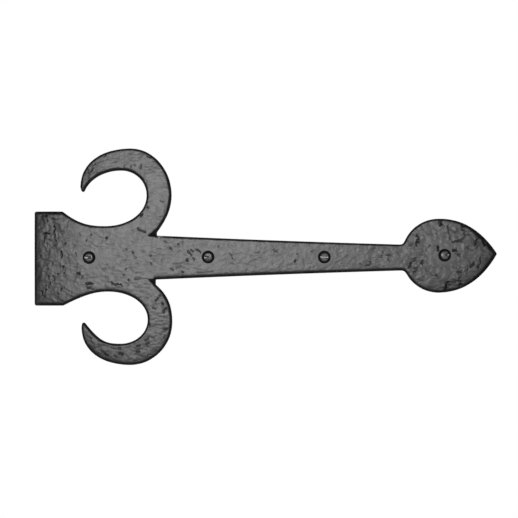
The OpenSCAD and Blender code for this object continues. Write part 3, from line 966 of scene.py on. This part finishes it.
def threadRadius(depth, angle, settings):
    rise = settings["length"] - depth  # distance up from the point
    turn = depth / settings["pitch"] + angle / (2 * math.pi)
    across = abs(2 * (turn - np.floor(turn)) - 1)
    ridge = clamp(1 - across / settings["ridgeShare"]) ** settings["ridgeBulge"]
    taper = clamp(rise / settings["pointLength"]) ** settings["pointBulge"]
    runOut = clamp((depth - settings["shankLength"]) / settings["pitch"])
    core = settings["pointRadius"] + (settings["coreRadius"] - settings["pointRadius"]) * taper
    return core + (settings["shankRadius"] - settings["coreRadius"]) * ridge * taper * runOut


# Loose points of the head: rows that follow the slot and cross the crown, then rings down the side
def headPoints(circle, along, aside, settings):
    radius, half, lip = settings["headRadius"], settings["slotWidth"] / 2, settings["slotLip"]
    crown, step = radius * settings["crownShare"], settings["crownStep"]
    rimRoom, crownRoom, slotRoom = 0.12, 0.05, 0.1  # kept free inside the rim and the crown, by the slot
    middleRow, lastRing, sideRings = 0.12, 0.98, 9
    crownRows = list(np.arange(half + lip + step, crown - step / 2, step))
    inner = []
    for side, wall in ((1, settings["upperWall"]), (-1, settings["lowerWall"])):
        foot = half - wall
        slotRows = [half + lip, half + lip / 2, half, half - wall / 3, half - 2 * wall / 3]
        slotRows += [foot, foot - slotRoom, middleRow]
        for row in slotRows + crownRows:
            reach = math.sqrt((radius - rimRoom if row in slotRows else crown - crownRoom) ** 2 - row ** 2)
            spots = np.linspace(-reach, reach, round(2 * reach / step))
            inner.extend(u * along + side * row * aside for u in spots)
    for share in np.linspace(settings["crownShare"], lastRing, sideRings):
        inner.extend(p for p in radius * share * circle if abs(p @ aside) > half + lip + slotRoom)
    return inner


def buildScrew(index, settings, material):
    name = "screw_%d" % (index + 1)
    joint = next(j for j in frame["joints"] if j["child"] == name)
    axisX, _, axisZ = np.array(joint["pos_m"]) / mm
    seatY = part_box("strap_casting")[0].y / mm
    circle = circlePoints(settings["sides"])
    turns = np.arange(settings["sides"]) * 2 * math.pi / settings["sides"]
    lean = math.radians(settings["slotTurns"][index])
    along = np.array([math.cos(lean), -math.sin(lean)])
    aside = np.array([math.sin(lean), math.cos(lean)])

    inner = headPoints(circle, along, aside, settings)
    disc, faces, (rim,) = fillRegion(settings["headRadius"] * circle, [], inner)
    height, r, wall = headHeight(disc @ along, disc @ aside, index, settings)
    height[rim] = 0
    points = [np.c_[disc[:, 0], -height, disc[:, 1]]]
    # the head's steep side gets painted shade; the crown and the thread's crests count as rubbed
    edge, raised = ramp(r, 0.6, 0.74), [1 - ramp(r, 0.1, 0.5)]
    hollowShade = 4 * wall * (1 - wall)  # painted shade in the slot, full halfway up a wall

    # the underside, the shank and the thread as rings down the axis
    first, last = settings["shankLength"], settings["length"]
    steps = round((last - first) / settings["pitch"] * settings["turnRings"])
    shank, core, fillet = settings["shankRadius"], settings["coreRadius"], settings["fillet"]
    endLength, endDepth = settings["shankEnd"]
    rings = [(0, shank + fillet), (fillet, shank), (first - endLength, shank), (first, shank - endDepth)]
    for depth in np.linspace(first, last, steps + 1):
        rings.append((depth, threadRadius(depth, turns, settings)))
    upper, total = rim, len(disc)
    for depth, ringRadius in rings:
        ringRadius = np.broadcast_to(ringRadius, len(circle))
        ring = circle * ringRadius[:, None]
        points.append(np.c_[ring[:, 0], np.full(len(ring), depth), ring[:, 1]])
        raised.append(clamp((ringRadius - core) / (shank - core)))  # crests lose their paint first
        lower = range(total, total + len(ring))
        faces.extend(bridge(upper, lower))
        upper, total = lower, total + len(ring)
    points.append(np.array([[0, last + settings["pointRadius"], 0]]))
    faces.extend((upper[i], upper[(i + 1) % len(upper)], total) for i in range(len(upper)))
    plain = np.zeros(total + 1 - len(disc))
    fields = {"edge": np.r_[edge, plain], "hollowShade": np.r_[hollowShade, plain], "raised": np.r_[(*raised, 0)]}
    placed = np.vstack(points) + (axisX, seatY, axisZ)
    addPiece("round_head_" + name, placed, faces, fields, name, name, material,
             settings["sharpTurn"])


screwBlack = blackPaint("screwBlack", screw["finish"])
for index in range(len(screw["slotTurns"])):
    buildScrew(index, screw, screwBlack)


# Camera, light and floor, in metres

studio = {
    "middle": (0.1848, -0.003, -0.0012),  # what the middle of the picture looks at
    "fieldWidth": 0.4264,  # width of the picture there
    "lens": 135.0,
    "farthest": 20,  # the camera sees no further than this
    "lamps": {  # place, width and height, radiance
        "keySoftbox": ((0.09, -0.8, 0.05), (0.36, 0.2), 6.7),
        "fillSoftbox": ((0.19, -1.5, 0.0), (1.8, 1.2), 1.18),
        "backRightSoftbox": ((1.3, 1.1, -0.35), (0.9, 0.7), 2.4),
        "backLeftSoftbox": ((-0.93, 1.1, -0.35), (0.9, 0.7), 2.4),
        "topBackSoftbox": ((0.19, 1.0, 1.2), (1.2, 0.6), 2.6),
    },
    "roomGlow": 0.05,  # what gloss sees where there is no backdrop or lamp
    "backdropSpan": (0.8, 0.97),  # how far back a ray looks at the backdrop's rim and at full white
    "floorHeight": -0.285,
    "floorRadius": 0.5,
    "floorFade": 0.55,  # share of the radius from which the floor melts into the white round it
    "floorCover": 0.36,  # the white round the scene shows through the rest
    "floorSides": 96,
    "floorColour": (0.9, 0.9, 0.89, 1),
    "floorRoughness": 0.8,
}


def addCamera(settings):
    data = bpy.data.cameras.new("photoCamera")
    data.lens = settings["lens"]
    data.clip_end = settings["farthest"]
    distance = settings["fieldWidth"] * data.lens / data.sensor_width
    camera = addObject("photoCamera", data)
    camera.location = Vector(settings["middle"]) + Vector((0, -distance, 0))
    camera.rotation_euler = (math.pi / 2, 0, 0)
    bpy.context.scene.camera = camera
    print("camera at", tuple(round(c, 3) for c in camera.location))


def addSoftbox(name, place, size, radiance, target):
    data = bpy.data.lights.new(name, "AREA")
    data.shape = "RECTANGLE"
    data.size, data.size_y = size
    data.energy = 4 * radiance * size[0] * size[1]  # the power that gives a lamp this radiance
    lamp = addObject(name, data)
    lamp.location = place
    lamp.rotation_euler = (Vector(target) - Vector(place)).to_track_quat("-Z", "Y").to_euler()
    lamp.visible_camera = False


def addStudioLight(settings):
    for name, (place, size, radiance) in settings["lamps"].items():
        addSoftbox(name, place, size, radiance, settings["middle"])
    print(len(settings["lamps"]), "lamps set up")


# White for the eye, a white backdrop behind the object for gloss, and a dim room at its sides
def addWorld(settings):
    world = bpy.data.worlds.new("studioWorld")
    bpy.context.scene.world = world
    world.use_nodes = True
    tree = world.node_tree
    background = tree.nodes["Background"]
    path = tree.nodes.new("ShaderNodeLightPath").outputs
    coordinates = tree.nodes.new("ShaderNodeTexCoord")
    split = tree.nodes.new("ShaderNodeSeparateXYZ")
    tree.links.new(coordinates.outputs["Generated"], split.inputs["Vector"])  # the way that a ray leaves
    backdrop = rangeNode(tree, split.outputs["Y"], settings["backdropSpan"], (settings["roomGlow"], 1.0))
    seen = mathNode(tree, "MAXIMUM", path["Is Glossy Ray"], path["Is Transmission Ray"])
    glow = times(tree, seen, backdrop)
    dim = times(tree, mathNode(tree, "SUBTRACT", 1.0, seen), settings["roomGlow"])
    strength = mathNode(tree, "MAXIMUM", path["Is Camera Ray"], mathNode(tree, "ADD", glow, dim))
    tree.links.new(strength, background.inputs["Strength"])
    background.inputs["Color"].default_value = (1, 1, 1, 1)


def addFloor(settings):
    mesh = bpy.data.meshes.new("paleFloor")
    middle = Vector((settings["middle"][0], 0, settings["floorHeight"]))
    sides, radius = settings["floorSides"], settings["floorRadius"]
    ring = [middle + radius * Vector((x, y, 0)) for x, y in circlePoints(sides)]
    mesh.from_pydata([middle] + ring, [], [(0, i + 1, (i + 1) % sides + 1) for i in range(sides)])
    floor = addObject("paleFloor", mesh)
    material, tree, shader = newMaterial("palePaper")
    shader["Base Color"].default_value = settings["floorColour"]
    shader["Roughness"].default_value = settings["floorRoughness"]
    coordinates = tree.nodes.new("ShaderNodeTexCoord")
    reach = tree.nodes.new("ShaderNodeVectorMath")
    reach.operation = "DISTANCE"
    tree.links.new(coordinates.outputs["Object"], reach.inputs[0])
    reach.inputs[1].default_value = middle
    fadeSpan = (radius, radius * settings["floorFade"])
    fade = rangeNode(tree, reach.outputs["Value"], fadeSpan, (0.0, settings["floorCover"]))
    tree.links.new(fade, shader["Alpha"])
    mesh.materials.append(material)
    print("floor laid")


addCamera(studio)
addStudioLight(studio)
addWorld(studio)
addFloor(studio)
bpy.context.scene.view_settings.view_transform = "Standard"
